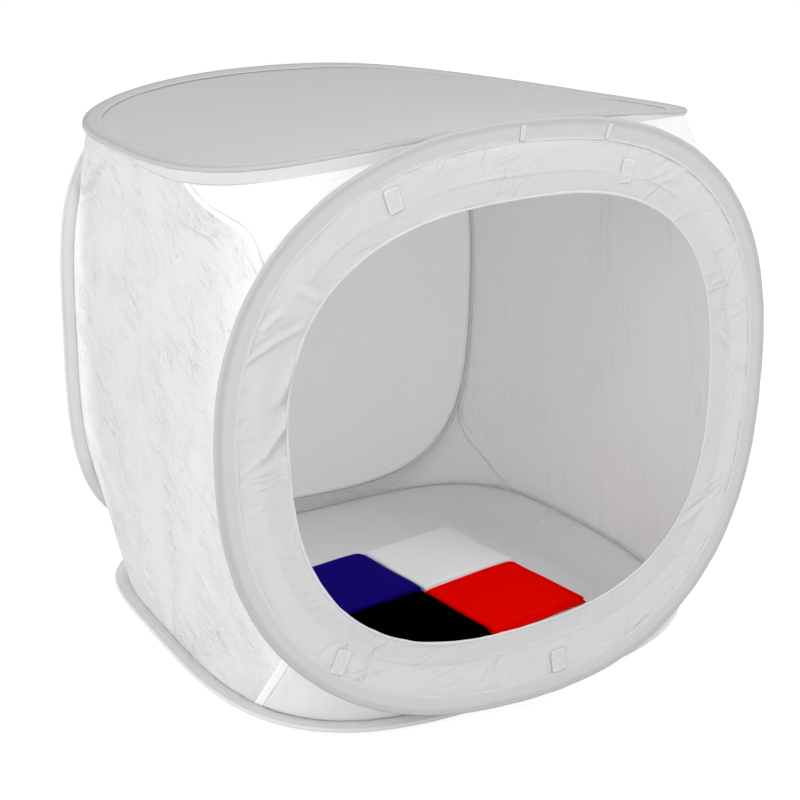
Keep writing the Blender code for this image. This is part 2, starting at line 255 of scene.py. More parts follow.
def crinkles(u, v, area, count, angle, spread, length, width, height, seed):
    """Many short creases inside an area, mostly at one angle."""
    rng = np.random.default_rng(seed)
    total = np.zeros_like(u)
    for _ in range(count):
        x = rng.uniform(area[0], area[1])
        y = rng.uniform(area[2], area[3])
        turn = angle + rng.normal(0, spread)
        half = length * rng.uniform(0.4, 1.4) / 2
        way = np.array([math.cos(turn), math.sin(turn)]) * half
        wide = width * rng.uniform(0.6, 1.5)
        high = height * rng.uniform(-1.0, 1.0)
        total += ridge(u, v, (x - way[0], y - way[1]), (x + way[0], y + way[1]), wide, high)
    return total


def fold_heights(u, v, folds, gain=1.0):
    """The height of folds that are listed in millimetres."""
    total = np.zeros_like(u)
    for start, end, width, height in folds:
        total += ridge(u, v, np.array(start) * mm, np.array(end) * mm, width * mm, gain * height * mm)
    return total


def grid(first, second):
    return np.meshgrid(first, second, indexing="ij")


def around(length, count):
    """Evenly spaced distances round a loop."""
    return np.arange(count) * length / count


class Hoop:
    """One bowed hoop: a squarish outline in its own plane, and where that plane's points lie in space."""

    def __init__(self, body, joint, upright, inward, centre, width, height, squareness, turn, tilts, bow,
                 warp=(0, 0, 0), skirt=0.0):
        self.body, self.joint, self.upright, self.inward = body, joint, upright, inward
        self.centre = np.array(centre)
        self.tilts, self.bow, self.warp, self.skirt = tilts, bow, warp, skirt
        angle = np.linspace(0, 2 * math.pi, outline_points) - math.pi / 2
        c, s = np.cos(angle), np.sin(angle)
        power = 2 / squareness
        a = np.sign(c) * width / 2 * np.abs(c) ** power
        b = np.sign(s) * height / 2 * np.abs(s) ** power
        ct, st = math.cos(turn), math.sin(turn)
        self.points = np.stack([a * ct - b * st, a * st + b * ct], 1)
        steps = np.linalg.norm(np.diff(self.points, axis=0), axis=1)
        self.walk = np.concatenate([[0.0], np.cumsum(steps)])
        self.length = self.walk[-1]

    def bare(self, distance):
        d = np.mod(distance, self.length)
        return np.stack([np.interp(d, self.walk, self.points[:, k]) for k in (0, 1)], -1)

    def at(self, distance, inset=0.0):
        """Points of the outline, moved inwards by inset."""
        reach = 6 * mm
        along = self.bare(distance + reach) - self.bare(distance - reach)
        along = along / np.linalg.norm(along, axis=-1, keepdims=True)
        normal = np.stack([-along[..., 1], along[..., 0]], -1)
        return self.bare(distance) + np.asarray(inset)[..., None] * normal

    def space(self, ab, off=0.0):
        """Points in space: off is the height above the bowed plane, towards the inside of the tent."""
        a, b = ab[..., 0], ab[..., 1]
        bowed = self.tilts[0] * b + self.tilts[1] * a + self.bow * (a * a - b * b)
        twist, three, four = self.warp
        bowed = bowed + twist * a * b + three * (a ** 3 - 3 * a * b * b)
        bowed = bowed + four * (a ** 4 - 6 * a * a * b * b + b ** 4)
        bowed = bowed + self.inward * off
        if self.upright:
            return self.centre + np.stack([a, bowed, b], -1)
        return self.centre + np.stack([a, b, bowed], -1)

    def hang(self, distance):
        """How far the sleeve's outer side hangs down: most near the middle of the front edge."""
        way = np.mod(distance, self.length)
        reach = np.where(way < self.length / 2, skirt_right, skirt_left)
        way = np.minimum(way, self.length - way)
        return self.skirt * (skirt_share + (1 - skirt_share) * smooth((reach - way) / skirt_fade))

    def seam(self, end, side, distance, off=seam_lift):
        """Where a web or a side panel is sewn on, at a distance from the middle of a shared edge."""
        sign = side if end == 0 else -side
        place = end * self.length / 2 + sign * distance
        if self.skirt:
            return self.space(self.at(place, skirt_inset), self.hang(place) + off - seam_lift)
        return self.space(self.at(place, seam_inset), off)

    def flatten(self, piece):
        """The piece rides on the hoop's body."""
        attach(piece, self.body)
        tuple(self.centre)
        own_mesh(piece)

    def piece(self, name, points, look, **form):
        """A piece made from a grid of points, which rides on the hoop."""
        obj = grid_piece(name, points, look, **form)
        self.flatten(obj)
        return obj


# Body, joint, upright, inward, centre, width, height, squareness, turn, tilts, bow, warp and skirt
hoops = {
    "front": Hoop("front_frame", "front_fold", True, 1, (-0.012, -0.295, 0.317), 0.600, 0.594, 2.34, 0.0,
                  (-0.034, -0.057), 0.166),
    "top": Hoop("top_frame", "top_fold", False, -1, (-0.0014, 0.0167, 0.5882), 0.577, 0.6095, 3.2, -0.0043,
                (0.0028, 0.0247), -0.1711, (-0.0233, 0.0069, 0.250), skirt_drop),
    "bottom": Hoop("floor_frame", "back_fold", False, 1, (0.014, 0.0257, 0.0152), 0.612, 0.5835, 3.45, 0.032,
                   (0.0, 0.0), 0.127),
    "back": Hoop("back_frame", "back_fold", True, -1, (0.0025, 0.2908, 0.2985), 0.6005, 0.584, 3.41, -0.042,
                 (0.006, 0.025), -0.174),
}
door = Hoop("front_frame", "front_fold", True, 1, (0, 0, 0), 0.4614, 0.4414, 2.585, 0.0545, (0, 0), 0)
door_shift = np.array([-0.0016, 0.0045])

edges = {
    "front_bottom": ("front", 0, "bottom", 0),
    "front_top": ("front", 1, "top", 0),
    "back_top": ("back", 1, "top", 1),
    "back_bottom": ("back", 0, "bottom", 1),
}


# Meshes

def grid_piece(name, points, look, closed=False, thick=nylon, uv=None, swap=False):
    """A mesh made from a grid of points, as thick as cloth; closed joins the last row to the first."""
    n, m = points.shape[:2]
    mesh = bpy.data.meshes.new(name)
    i, j = grid(np.arange(n if closed else n - 1), np.arange(m - 1))
    nx = (i + 1) % n
    quads = np.stack([i * m + j, nx * m + j, nx * m + j + 1, i * m + j + 1], -1).reshape(-1, 4)
    if swap:
        quads = quads[:, ::-1]
    mesh.from_pydata(points.reshape(-1, 3).tolist(), [], quads.tolist())
    layer = mesh.uv_layers.new(name="weave")
    if uv is None:
        du = np.linalg.norm(np.diff(points, axis=0), axis=2).mean(1)
        dv = np.linalg.norm(np.diff(points, axis=1), axis=2).mean(0)
        u = np.concatenate([[0], np.cumsum(du)])
        v = np.concatenate([[0], np.cumsum(dv)])
        uv = np.stack(grid(u, v), -1)
    corner_uv = uv.reshape(-1, 2)[quads.reshape(-1)].reshape(-1, 4, 2)
    if closed:
        wrap = (quads // m == 0) & ((quads // m).max(1, keepdims=True) > 1)
        corner_uv[..., 0][wrap] += uv[-1, 0, 0] + uv[1, 0, 0] - 2 * uv[0, 0, 0]
    layer.data.foreach_set("uv", corner_uv.reshape(-1).astype(np.float32))
    mesh.shade_smooth()
    mesh.materials.append(looks[look])
    obj = bpy.data.objects.new(name, mesh)
    bpy.context.scene.collection.objects.link(obj)
    if thick:
        solid = obj.modifiers.new("Cloth", "SOLIDIFY")
        solid.thickness = thick
        solid.offset = 0.0
    return obj


def normals(points):
    n = np.cross(np.gradient(points, axis=0), np.gradient(points, axis=1))
    return n / np.maximum(np.linalg.norm(n, axis=2, keepdims=True), 1e-12)


# Shader nodes

def nodes_of(name):
    look = bpy.data.materials.new(name)
    look.use_nodes = True
    tree = look.node_tree
    return look, tree, tree.nodes["Principled BSDF"], tree.nodes["Material Output"]


def node(tree, kind, inputs=(), **settings):
    """A shader node: its settings, and for each input a value or a link from another node's socket."""
    made = tree.nodes.new("ShaderNode" + kind)
    for word, value in settings.items():
        setattr(made, word, value)
    for socket, source in dict(inputs).items():
        if isinstance(source, bpy.types.NodeSocket):
            tree.links.new(source, made.inputs[socket])
        else:
            made.inputs[socket].default_value = source
    return made


def math_node(tree, operation, first, second=0.0):
    return node(tree, "Math", {0: first, 1: second}, operation=operation).outputs[0]


def fade_node(tree, value, start, end, low, high):
    """A number that goes smoothly from low to high while the value goes from start to end."""
    inputs = {"Value": value, "From Min": start, "From Max": end, "To Min": low, "To Max": high}
    return node(tree, "MapRange", inputs, interpolation_type="SMOOTHSTEP").outputs["Result"]


def noise_node(tree, vector, scale, detail, distortion=0.0, dimensions="3D"):
    inputs = {"Vector": vector, "Scale": scale, "Detail": detail, "Distortion": distortion}
    return node(tree, "TexNoise", inputs, noise_dimensions=dimensions).outputs["Fac"]


def bump_node(tree, height, strength, distance):
    return node(tree, "Bump", {"Height": height, "Strength": strength, "Distance": distance})


def mix_colours(tree, blend, factor, first, second):
    inputs = {"Factor": factor, "A": first, "B": second}
    return node(tree, "Mix", inputs, data_type="RGBA", blend_type=blend).outputs["Result"]


def mix_shaders(tree, factor, first, second):
    return node(tree, "MixShader", {"Fac": factor, 1: first, 2: second}).outputs["Shader"]


def weave_uv(tree):
    return node(tree, "UVMap", uv_map="weave").outputs["UV"]


def weave_axis(tree, axis):
    return node(tree, "SeparateXYZ", {"Vector": weave_uv(tree)}).outputs[axis]


# Materials

def weave_height(tree, pitch):
    """A plain weave's height, from two crossed waves in the cloth's own coordinates."""
    uv = weave_uv(tree)
    heights = []
    for axis in ("X", "Y"):
        inputs = {"Vector": uv, "Scale": wave_length / pitch, "Distortion": 0.6, "Detail": 0.0}
        heights.append(node(tree, "TexWave", inputs, bands_direction=axis).outputs["Fac"])
    return math_node(tree, "MULTIPLY", *heights)


def crease_height(tree, angle, long, wide, sharp, patches):
    """Thin creases that mostly run one way, strong in some places and missing in others."""
    uv = weave_uv(tree)
    inputs = {"Vector": uv, "Rotation": (0, 0, angle), "Scale": (long, wide, 1)}
    turned = node(tree, "Mapping", inputs, vector_type="TEXTURE").outputs["Vector"]
    value = noise_node(tree, turned, 1.0, 1.5, 0.5, "2D")
    for operation, amount in (("SUBTRACT", 0.5), ("ABSOLUTE", 0.0), ("MULTIPLY", sharp)):
        value = math_node(tree, operation, value, amount)
    crest = fade_node(tree, value, 0.0, 1.0, 1.0, 0.0)
    spread = noise_node(tree, uv, 1 / patches, 1.0, 0.0, "2D")
    where = fade_node(tree, spread, *patch_shares, 0.0, 1.0)
    return math_node(tree, "MULTIPLY", crest, where)


def painted_bead_shade(tree, colour, shade):
    """The colour, darkened along the middle of the sleeve's strip over the wire: painted shade, where the
    sleeve's edge curves away from the light.
    """
    away = math_node(tree, "ABSOLUTE", math_node(tree, "SUBTRACT", weave_axis(tree, "Y"), bead_shade_middle))
    fade = fade_node(tree, away, bead_shade_half / 2, bead_shade_half, shade, 1.0)
    return mix_colours(tree, "MULTIPLY", 1.0, colour, fade)


def doubled(tree, through, ends):
    """How much light comes through a cloth whose ends are doubled: (from, to, share left at the end)."""
    along = weave_axis(tree, "X")
    value = through
    for start, end, share in ends:
        value = math_node(tree, "MULTIPLY", fade_node(tree, along, start, end, 1.0, share), value)
    return value


def cloth_look(name, colour, roughness, pitch, weave=0.12, through=0.0, crumple=0.0, specular=0.3,
               creases=(), bead_shade=None, ends=()):
    """Woven cloth: its colour with a faint mottle, its weave and creases, and light that comes through it."""
    look, tree, shader, out = nodes_of(name)
    link = tree.links.new
    place = node(tree, "TexCoord").outputs["Object"]
    dark = tuple(channel * (1 - mottle_share) for channel in colour)
    shown = mix_colours(tree, "MIX", noise_node(tree, place, mottle_scale, 4), (*dark, 1), (*colour, 1))
    # Painted shade: the colour darkens along the sleeve's edge over the wire
    if bead_shade:
        shown = painted_bead_shade(tree, shown, bead_shade)
    link(shown, shader.inputs["Base Color"])
    shader.inputs["Roughness"].default_value = roughness
    shader.inputs["Specular IOR Level"].default_value = specular
    bumps = [bump_node(tree, weave_height(tree, pitch), weave, pitch / 2)]
    for *shape, high in creases:
        bumps.append(bump_node(tree, crease_height(tree, *shape), 1.0, high))
    if crumple:
        fine = noise_node(tree, place, crumple_scale, 3, 0.6)
        bumps.append(bump_node(tree, fine, crumple, crumple_depth))
    for upper, lower in zip(bumps, bumps[1:]):
        link(lower.outputs["Normal"], upper.inputs["Normal"])
    normal = bumps[0].outputs["Normal"]
    link(normal, shader.inputs["Normal"])
    if through:
        glow = node(tree, "BsdfTranslucent", {"Color": (*colour, 1), "Normal": normal}).outputs["BSDF"]
        share = doubled(tree, through, ends) if ends else through
        link(mix_shaders(tree, share, shader.outputs["BSDF"], glow), out.inputs["Surface"])
    return look


def steel_look(name):
    look, tree, shader, _ = nodes_of(name)
    shader.inputs["Base Color"].default_value = (0.55, 0.55, 0.57, 1)
    shader.inputs["Metallic"].default_value = 1.0
    scratch = node(tree, "TexNoise", {"Scale": 400}).outputs["Fac"]
    rough = node(tree, "MapRange", {"Value": scratch, "To Min": 0.28, "To Max": 0.42})
    tree.links.new(rough.outputs["Result"], shader.inputs["Roughness"])
    return look


# Creases: angle, length, width, sharpness, size of the patches that they lie in, and height
side_creases = [
    (0.75, 20 * mm, 11.0 * mm, 4.0, 40 * mm, 1.05 * mm),
    (1.35, 15 * mm, 9.0 * mm, 4.0, 55 * mm, 1.00 * mm),
    (0.35, 32 * mm, 12.0 * mm, 4.2, 70 * mm, 1.05 * mm),
]
border_creases = [
    (1.2, 45 * mm, 15 * mm, 4.2, 80 * mm, 0.80 * mm),
    (0.3, 38 * mm, 13 * mm, 4.2, 60 * mm, 0.60 * mm),
]
upright_creases = [(1.55, 70 * mm, 12 * mm, 5.0, 90 * mm, 0.75 * mm)]
gusset_creases = [(0.3, 40 * mm, 12 * mm, 6.0, 80 * mm, 0.22 * mm)]
soft_creases = [(1.2, 50 * mm, 16 * mm, 5.0, 90 * mm, 0.35 * mm)]

# The side panel's doubled ends: where the doubling starts, where it is full, and the light that is left
side_ends = [(0.205, 0.262, 0.0), (-0.17, -0.26, 0.35)]

white = (0.90, 0.90, 0.905)
looks = {
    "panel": cloth_look("white_nylon", white, 0.55, nylon_weave, through=see_through, crumple=0.12,
                        creases=soft_creases),
    # A darker copy of the white nylon for the top panel: painted shade, as little light falls from above
    "top": cloth_look("white_nylon_top_painted_shade", (0.77, 0.77, 0.775), 0.62, nylon_weave, through=see_through,
                      crumple=0.05),
    "bottom": cloth_look("white_nylon_floor", white, 0.62, nylon_weave, through=0.06, crumple=0.12),
    "side": cloth_look("white_nylon_side", white, 0.38, nylon_weave, through=see_through, crumple=0.6,
                       specular=0.5, creases=side_creases, ends=side_ends),
    # A slightly darker copy of the white nylon for the right side panel and the back seam bindings: painted
    # shade
    "far": cloth_look("white_nylon_far_painted_shade", (0.87, 0.87, 0.875), 0.45, nylon_weave, through=0.46, crumple=0.1,
                      specular=0.5, creases=upright_creases),
    "cord": cloth_look("white_cord", (0.97, 0.97, 0.97), 0.6, tape_weave, through=0.3),
    # A darker copy of the white nylon for the border and its facing: painted shade
    "front": cloth_look("white_nylon_front_painted_shade", (0.84, 0.84, 0.845), 0.55, nylon_weave, through=see_through,
                        crumple=0.2, creases=border_creases),
    # A lighter copy of the white nylon for the gussets and hinge tapes: painted light for the bright corners
    "gusset": cloth_look("white_nylon_gusset_painted_light", (0.93, 0.93, 0.93), 0.42, nylon_weave, through=0.25,
                         crumple=0.10, specular=0.5, creases=gusset_creases),
    # Sleeve binding; its colour darkens along the edge over the wire: painted shade
    "band": cloth_look("sleeve_binding", (0.575, 0.575, 0.58), 0.7, binding_weave, weave=0.15, through=0.08,
                       bead_shade=0.86),
    # A lighter copy of the sleeve binding for the back and bottom sleeves: painted light; it also darkens
    # along the edge over the wire: painted shade
    "pale": cloth_look("sleeve_binding_painted_light", (0.84, 0.84, 0.845), 0.7, binding_weave, weave=0.15,
                       through=0.08, bead_shade=0.90),
    # A lighter copy of the sleeve binding for the top sleeve's hanging side: painted light
    "skirt": cloth_look("sleeve_side_painted_light", (0.70, 0.70, 0.705), 0.7, binding_weave, weave=0.15, through=0.12),
    "tape": cloth_look("white_tape", (0.72, 0.72, 0.725), 0.7, tape_weave, weave=0.15, through=0.20),
    "hem": cloth_look("white_hem", (0.68, 0.68, 0.685), 0.7, tape_weave, weave=0.15, through=0.12),
    "lining": cloth_look("white_lining", (0.92, 0.92, 0.92), 0.7, tape_weave, weave=0.15),
    "grip": cloth_look("grip_tape", (0.60, 0.60, 0.605), 0.9, 0.9 * mm, weave=0.4),
    "thread": cloth_look("white_thread", (0.88, 0.88, 0.88), 0.6, 0.3 * mm),
    "blue": cloth_look("blue_cloth", (0.006, 0.0, 0.190), 0.95, tape_weave, weave=0.2, specular=0.05),
    "white": cloth_look("white_backdrop_cloth", (0.98, 0.98, 0.98), 0.8, tape_weave, weave=0.2, specular=0.5),
    "black": cloth_look("black_cloth", (0.0005, 0.0005, 0.0005), 1.0, tape_weave, weave=0.2, specular=0.0),
    "red": cloth_look("red_cloth", (0.97, 0.002, 0.0), 0.95, tape_weave, weave=0.2, specular=0.0),
    "steel": steel_look("spring_steel"),
}


# Sleeves, wires and their stitches

def band_section():
    """The sleeve's section from its inner flap round the wire to its flat outer face: (inset, height)."""
    shares = np.array([1.0, 0.94, 0.86, 0.76, 0.64, 0.52, 0.40, 0.30, 0.22])
    rise = bead_radius - flap_half
    inner = np.stack([shares * band_width, flap_half + rise * smooth(1.3 - 1.3 * shares)], 1)
    outer = np.stack([shares * band_width, -flap_half - rise * (1 - shares) ** swell_power], 1)
    turn = np.linspace(75, 285, 13) * math.pi / 180
    bead = np.stack([bead_radius + bead_radius * np.cos(turn), bead_radius * np.sin(turn)], 1)
    return np.concatenate([inner, bead, outer[::-1]])


def sleeve(name, hoop):
    """The folded binding round the wire, a little rumpled between its edge and its seam."""
    section = band_section()
    d, k = grid(around(hoop.length, hoop_points), np.arange(len(section)))
    inset, height = section[k, 0], section[k, 1]
    inner = smooth((inset - bead_inset) / (band_width - bead_inset))
    wave = noise(d / (19 * mm) + inset / (30 * mm), inset / (26 * mm), 5)
    wave = wave + 0.5 * noise(d / (6 * mm) - inset / (11 * mm), inset / (13 * mm), 6)
    deep = top_rumple if name == "top" else rumple
    height = height + np.sign(height) * deep * wave * smooth(inner * 2.5) * smooth((1 - inner) * 4)
    edge = 0.3 * mm * noise(d / (16 * mm), d * 0, 7)
    points = hoop.space(hoop.at(d, inset + edge), height)
    # The back and bottom sleeves take the binding's lighter copy: painted light
    look = "pale" if name in ("back", "bottom") else "band"
    obj = hoop.piece(f"{name}_sleeve_band", points, look, closed=True, swap=not hoop.upright)
    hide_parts(f"{name}_hoop_sleeve")


def welt(name, hoop):
    """The small raised ridge where the sleeve's outer face is sewn down."""
    d, t = grid(around(hoop.length, hoop_points), np.linspace(0, 2 * math.pi, 9))
    fat = 1 + 0.25 * noise(d / (5 * mm), t * 0, 8)
    inset = band_width + welt_width / 2 * np.cos(t)
    points = hoop.space(hoop.at(d, inset), -flap_half + welt_height * np.sin(t) * fat)
    obj = hoop.piece(f"{name}_sleeve_welt", points, "tape", closed=True, thick=0)


def piping(name, hoop):
    """The cord along the inner corner between the sleeve and its panel."""
    d, t = grid(around(hoop.length, hoop_points), np.linspace(0, 2 * math.pi, 9))
    spot = hoop.at(d, seam_inset + piping_radius + piping_radius * np.cos(t))
    points = hoop.space(spot, piping_rise + piping_radius * np.sin(t))
    obj = hoop.piece(f"{name}_sleeve_cord", points, "cord", closed=True, thick=0)


def seam_stitches(name, hoop):
    """The row of stitches through the sleeve, as it shows on both faces."""
    for word, face in (("outer", -1), ("inner", 1)):
        def along(d, height=face * (flap_half + stitch_lift)):
            return hoop.space(hoop.at(d, stitch_inset), height)

        row = stitch_row(f"{name}_sleeve_stitches_{word}", along, hoop.length)
        hoop.flatten(row)


def skirt(name, hoop):
    """The sleeve's outer side, which hangs down over the top of the gussets and the side panels."""
    d, t = grid(around(hoop.length, hoop_points), np.linspace(0, 1, 9))
    lumps = 0.5 * mm * noise(d / (24 * mm), t * 1.5, 9) * smooth(t * 2)
    inset = (0.8 + 2.2 * t) * mm + lumps
    points = hoop.space(hoop.at(d, inset), wire_radius + hoop.hang(d) * t)
    # Its look is a lighter copy of the binding: painted light
    obj = hoop.piece(f"{name}_sleeve_skirt", points, "skirt", closed=True)


def wire(name, hoop):
    d, t = grid(around(hoop.length, wire_points), np.linspace(0, 2 * math.pi, 9))
    points = hoop.space(hoop.at(d, bead_radius + wire_radius * np.cos(t)), wire_radius * np.sin(t))
    obj = hoop.piece(f"{name}_spring_wire", points, "steel", closed=True, thick=0)
    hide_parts(f"{name}_hoop_wire", f"{name}_hoop_ferrule")


def stitch_row(name, place, length, pitch=stitch_pitch):
    """A row of short raised stitches: place(d) gives points along the row at distances d."""
    count = int(length / pitch)
    start = around(length, count)
    ends = [place(start + share * pitch) for share, _ in stitch_shares]
    along = ends[-1] - ends[0]
    along = along / np.linalg.norm(along, axis=1, keepdims=True)
    side = np.cross(along, (0.31, 0.53, 0.79))
    side = side / np.linalg.norm(side, axis=1, keepdims=True)
    up = np.cross(along, side)
    rings = []
    for end, (_, thick) in zip(ends, stitch_shares):
        for turn in range(5):
            angle = turn * 2 * math.pi / 5
            rings.append(end + stitch_radius * thick * (side * math.cos(angle) + up * math.sin(angle)))
    verts = np.stack(rings, 1).reshape(-1, 3)
    one = [(r + t, r + (t + 1) % 5, r + 5 + (t + 1) % 5, r + 5 + t) for r in (0, 5, 10) for t in range(5)]
    caps = [(4, 3, 2, 1, 0), (15, 16, 17, 18, 19)]
    faces = [tuple(20 * k + i for i in face) for k in range(count) for face in one + caps]
    mesh = bpy.data.meshes.new(name)
    mesh.from_pydata(verts.tolist(), [], faces)
    mesh.materials.append(looks["thread"])
    obj = bpy.data.objects.new(name, mesh)
    bpy.context.scene.collection.objects.link(obj)
    return obj


# Panels

def disc(name, hoop, look, relief, level=None):
    """A panel stretched inside a hoop, as rings from the seam to a pinhole in the middle."""
    distance = around(hoop.length, panel_points)
    share = np.linspace(0, 1, panel_rings) ** ring_power * (1 - pinhole_share)
    rim = hoop.at(distance, panel_inset)
    ab = rim[:, None, :] * (1 - share[None, :, None])
    inside = np.linalg.norm(rim[:, None, :] - ab, axis=2)
    d = np.repeat(distance[:, None], panel_rings, 1)
    points = hoop.space(ab, relief(ab[..., 0], ab[..., 1], inside, d))
    if level is not None:
        points = level(points, inside)
    return hoop.piece(name, points, look, closed=True, uv=ab, swap=True)


def puckers(inside, d, depth, reach, seed):
    """Short gathers along a seam, fading out inwards."""
    fade = np.exp(-inside / reach)
    wave = noise(d / (8 * mm), inside / (60 * mm), seed)
    wave = wave + 0.7 * noise(d / (17 * mm), inside / (90 * mm), seed + 1)
    return depth * wave * fade * smooth(inside / (3 * mm))


def top_relief(a, b, inside, d):
    soft = 0.8 * mm * noise(a / (130 * mm), b / (110 * mm), 11)
    return soft + puckers(inside, d, 0.55 * mm, 14 * mm, 12)


def back_relief(a, b, inside, d):
    soft = 2.0 * mm * noise(a / (150 * mm), b / (170 * mm), 21)
    return soft + puckers(inside, d, 0.6 * mm, 18 * mm, 22)


def floor_relief(a, b, inside, d):
    long_folds = 1.1 * mm * noise(a / (60 * mm) + b / (160 * mm), b / (25 * mm) - a / (60 * mm), 31)
    fade = smooth(inside / (15 * mm)) * np.exp(-inside / (90 * mm))
    folds = fold_heights(a, b, floor_folds, 1.8) * smooth(inside / (14 * mm))
    return long_folds * fade + puckers(inside, d, 0.5 * mm, 16 * mm, 32) + folds


def floor_lying(points, inside):
    """The floor cloth, let down from its bowed rim to lie level in the middle."""
    hoop = hoops["bottom"]
    bowed = hoop.space(points[..., :2] - hoop.centre[:2])[..., 2]
    down = smooth(inside / floor_rise)
    out = points.copy()
    height = bowed * (1 - down) + floor_level * down + (points[..., 2] - bowed)
    out[..., 2] = np.maximum(height, floor_lowest)
    return out


def border():
    """The front's wide ring of cloth between the sleeve and the doorway."""
    hoop = hoops["front"]
    count, rings = 720, 64
    share = around(1, count)
    outer = hoop.at(share * hoop.length, seam_inset)
    inner = door.at(share * door.length) + door_shift
    v = np.linspace(0, 1, rings)
    ab = outer[:, None, :] * (1 - v[None, :, None]) + inner[:, None, :] * v[None, :, None]
    width = np.linalg.norm(outer - inner, axis=1)[:, None]
    inside = v[None, :] * width
    from_door = width - inside
    d = np.repeat(share[:, None] * hoop.length, rings, 1)
    off = -puckers(inside, d, 0.7 * mm, 12 * mm, 41)
    soft = noise(d / (45 * mm) + inside / (60 * mm), inside / (40 * mm), 43)
    off = off - 0.7 * mm * soft * smooth(inside / (12 * mm)) * smooth(from_door / (9 * mm))
    faced = smooth((facing_width - from_door) / (2.5 * mm))
    off = off - 0.3 * mm * faced
    off = off - 0.5 * mm * np.exp(-((from_door - facing_width) / (1.6 * mm)) ** 2)
    hem_folds = noise(d / (38 * mm), from_door / (30 * mm) + 7, 44)
    off = off - 1.2 * mm * hem_folds * faced * smooth(from_door / (6 * mm))
    held = smooth(inside / (4 * mm)) * smooth(from_door / (3 * mm))
    off = off - held * fold_heights(ab[..., 0], ab[..., 1], border_folds, 1.35)
    obj = hoop.piece("front_border_cloth", hoop.space(ab, off), "front", closed=True, uv=ab)
    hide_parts("front_border")


def door_hem():
    """The rolled binding round the doorway's edge."""
    hoop = hoops["front"]
    s, t = grid(around(1, 480), np.linspace(0, 2 * math.pi, 11))
    d = s * door.length
    fat = 1 + 0.22 * noise(d / (9 * mm), t * 0, 51) + 0.2 * noise(d / (31 * mm), t * 0, 53)
    ab = door.at(d, hem_radius * 1.3 * np.cos(t) * fat) + door_shift
    off = -0.6 * mm + hem_radius * 0.8 * np.sin(t) * fat
    obj = hoop.piece("doorway_hem", hoop.space(ab, off), "hem", closed=True, thick=0)
    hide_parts("doorway_binding")


def door_facing():
    """The wide hem that is turned back behind the border's inner edge."""
    hoop = hoops["front"]
    s, v = grid(around(1, 300), np.linspace(0, 1, 8))
    d = s * door.length
    ab = door.at(d, -v * facing_width - 2 * mm) + door_shift
    off = 1.6 * mm + 0.3 * mm * noise(d / (30 * mm), v, 52)
    obj = hoop.piece("doorway_facing_cloth", hoop.space(ab, off), "front", closed=True)
    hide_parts("doorway_facing")


# Webs between neighbouring hoops

def web_point(edge, side, distance, across, off=seam_lift):
    """A point between two neighbouring hoops' seams; across runs from the first hoop to the second."""
    first, first_end, second, second_end = edges[edge]
    p = hoops[first].seam(first_end, side, distance, off)
    q = hoops[second].seam(second_end, side, distance, off)
    if edge == "front_top":
        p[..., 2] = np.minimum(p[..., 2], q[..., 2] - top_gap)
    w = across[..., None]
    return p * (1 - w) + q * w


def seam_at(edge, across):
    """How far a corner seam lies from its edge's middle; across runs from the first hoop to the second."""
    return np.polyval(np.polyfit(np.linspace(0, 1, 5), seam_places[edge], 4), across)


def outward(points):
    """Unit normals that point away from the tent's middle."""
    n = normals(points)
    return n * np.sign((n * (points - tent_middle)).sum(2, keepdims=True))


def carry_web(obj, edge):
    """Where each edge's cloth rides: two edges on a hoop's body, the other two on none."""
    if edge == "front_bottom":
        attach(obj, "floor_frame")
        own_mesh(obj)
    elif edge == "back_top":
        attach(obj, "back_frame")
        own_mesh(obj)
    elif edge == "back_bottom":
        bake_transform(obj)
    else:
        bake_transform(obj)


def hinge(edge):
    """The tape that joins two hoops along the middle of their shared edge."""
    d, w = grid(np.linspace(-hinge_half, hinge_half, 60), np.linspace(0, 1, 9))
    points = web_point(edge, 1, d, w, 1.8 * mm)
    points = points + normals(points) * (0.2 * mm * noise(d / (40 * mm), w * 2, 61))[..., None]
    obj = grid_piece(f"{edge}_hinge_cloth", points, "gusset", thick=0.6 * mm)
    carry_web(obj, edge)
    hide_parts(f"{edge}_hinge_tape")


def gusset(edge, side, word):
    """The wedge of nylon from the hinge tape to the corner seam."""
    u, w = grid(np.linspace(0, 1, 56), np.linspace(0, 1, 30))
    d = hinge_half + (seam_at(edge, w) - hinge_half) * u
    points = web_point(edge, side, d, w)
    wrinkle = 0.9 * mm * noise(d / (40 * mm), w * 3, 62) + 0.6 * mm * noise(d / (12 * mm), w * 5, 63)
    calm = smooth(w * 6) * smooth((1 - w) * 6)
    points = points + normals(points) * (wrinkle * calm)[..., None]
    obj = grid_piece(f"{edge}_{word}_gusset_cloth", points, "gusset")
    carry_web(obj, edge)
    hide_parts(f"{edge}_{word}_gusset")


def seam_binding(edge, side, word):
    """The tape over the seam between a gusset and the side panel."""
    u, w = grid(np.linspace(0, 1, 7), np.linspace(0, 1, 40))
    points = web_point(edge, side, seam_at(edge, w) + tape_width * u, w)
    lift = tape_lift * smooth(u * 5) * smooth((1 - u) * 5)
    points = points + outward(points) * (lift + 0.1 * mm)[..., None]
    look = {"front_bottom": "lining", "front_top": "gusset"}.get(edge, "far")
    obj = grid_piece(f"{edge}_{word}_seam_binding", points, look, thick=0.3 * mm)
    carry_web(obj, edge)
    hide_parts(f"{edge}_{word}_seam_tape")


def seam_cord(edge, side, word):
    """The cord along the inside of the seam between a gusset and the side panel."""
    w, t = grid(np.linspace(0.02, 0.98, 60), np.linspace(0, 2 * math.pi, 7))
    d = seam_at(edge, w) + 3 * mm + 1.8 * cord_radius * np.cos(t)
    points = web_point(edge, side, d, w)
    points = points - outward(points) * (0.9 * mm + cord_radius * np.sin(t))[..., None]
    obj = grid_piece(f"{edge}_{word}_seam_cord", points, "cord", thick=0)
    carry_web(obj, edge)


# Side panels

def polyline(points, count):
    """The same path with evenly spaced points."""
    steps = np.linalg.norm(np.diff(points, axis=0), axis=1)
    walk = np.concatenate([[0], np.cumsum(steps)])
    at = np.linspace(0, walk[-1], count)
    return np.stack([np.interp(at, walk, points[:, k]) for k in range(3)], 1)


